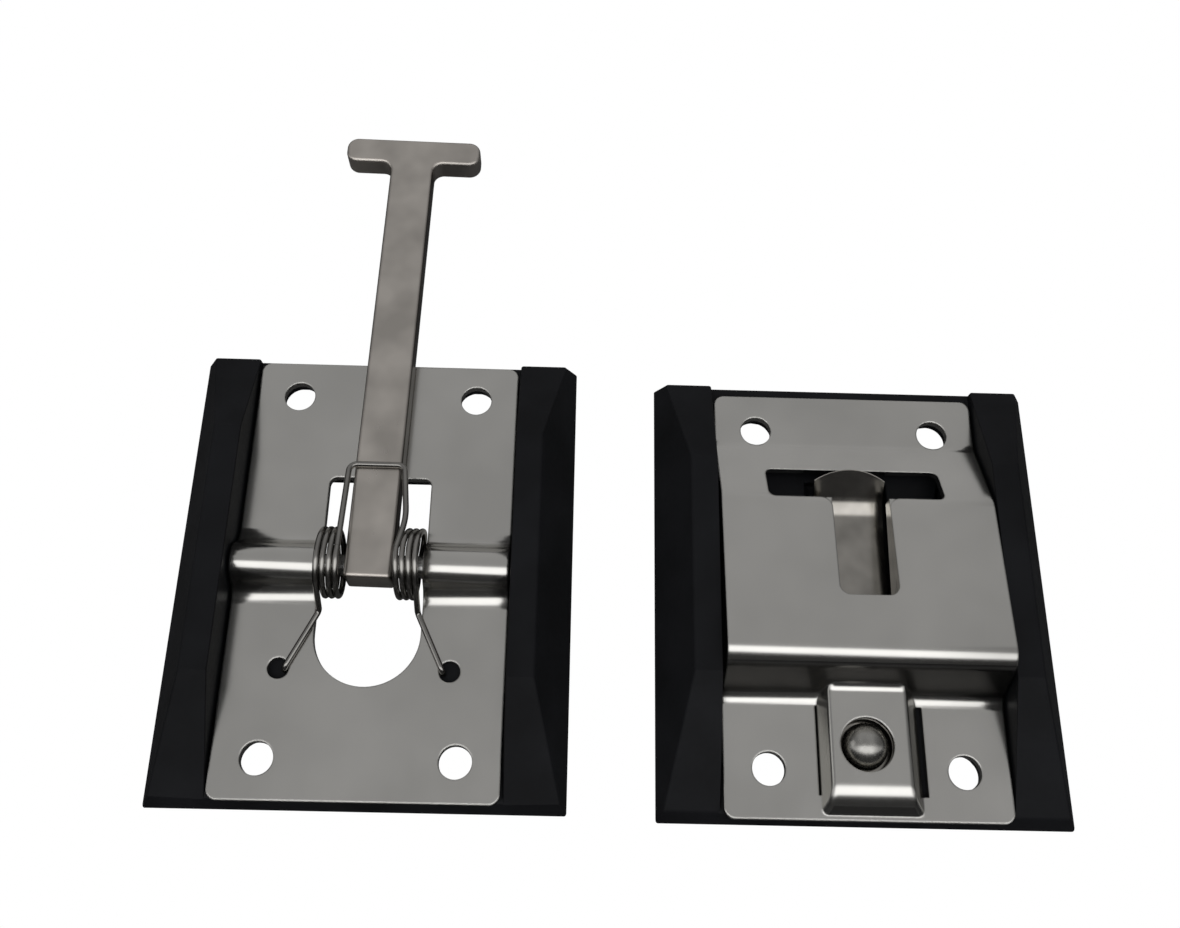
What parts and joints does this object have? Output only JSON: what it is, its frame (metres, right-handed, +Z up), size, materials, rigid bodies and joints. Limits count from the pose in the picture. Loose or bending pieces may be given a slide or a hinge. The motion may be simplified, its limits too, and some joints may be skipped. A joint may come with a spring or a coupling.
{
  "type": "door_holder",
  "caption": "Floor-mounted door holder set: a sprung T-bar on a steel plate and a catch plate with T-slot and leaf spring, each on a rubber buffer",
  "frame": {"origin": "centre of the bounding box at the mounting plane", "axes": "X along the longest extent, from the hook half to the catch half; Y from the hinge pin to the T head; Z up, away from the mounting plane"},
  "size_m": [0.1942, 0.1634, 0.0176],
  "materials": {
    "rubber": "matte black",
    "stainless": "satin stainless",
    "pin_steel": "turned stainless",
    "bar_steel": "dull cast stainless",
    "spring_steel": "polished wire",
    "leaf_steel": "bright spring steel"
  },
  "bodies": {
    "base": {"hook_rubber_base": "rubber", "hook_plate": "stainless", "hinge_pin": "pin_steel", "torsion_spring": "spring_steel", "catch_rubber_base": "rubber", "catch_plate": "stainless"},
    "arm": {"t_bar": "bar_steel"},
    "leaf": {"leaf_spring": "leaf_steel"}
  },
  "joints": [
    {"name": "arm_hinge", "type": "hinge", "parent": "base", "child": "arm", "pos_m": [-0.05305, -0.0292, 0.0066], "axis": [1, 0, 0], "range_deg": [0, 165], "stiffness_Nm_per_rad": 0.02, "springref_deg": -34.38, "deforming": ["torsion_spring"]},
    {"name": "leaf_flex", "type": "hinge", "parent": "base", "child": "leaf", "pos_m": [0.05255, -0.0562, 0.0046], "axis": [1, 0, 0], "range_deg": [-4.5, 0], "stiffness_Nm_per_rad": 0.3}
  ]
}
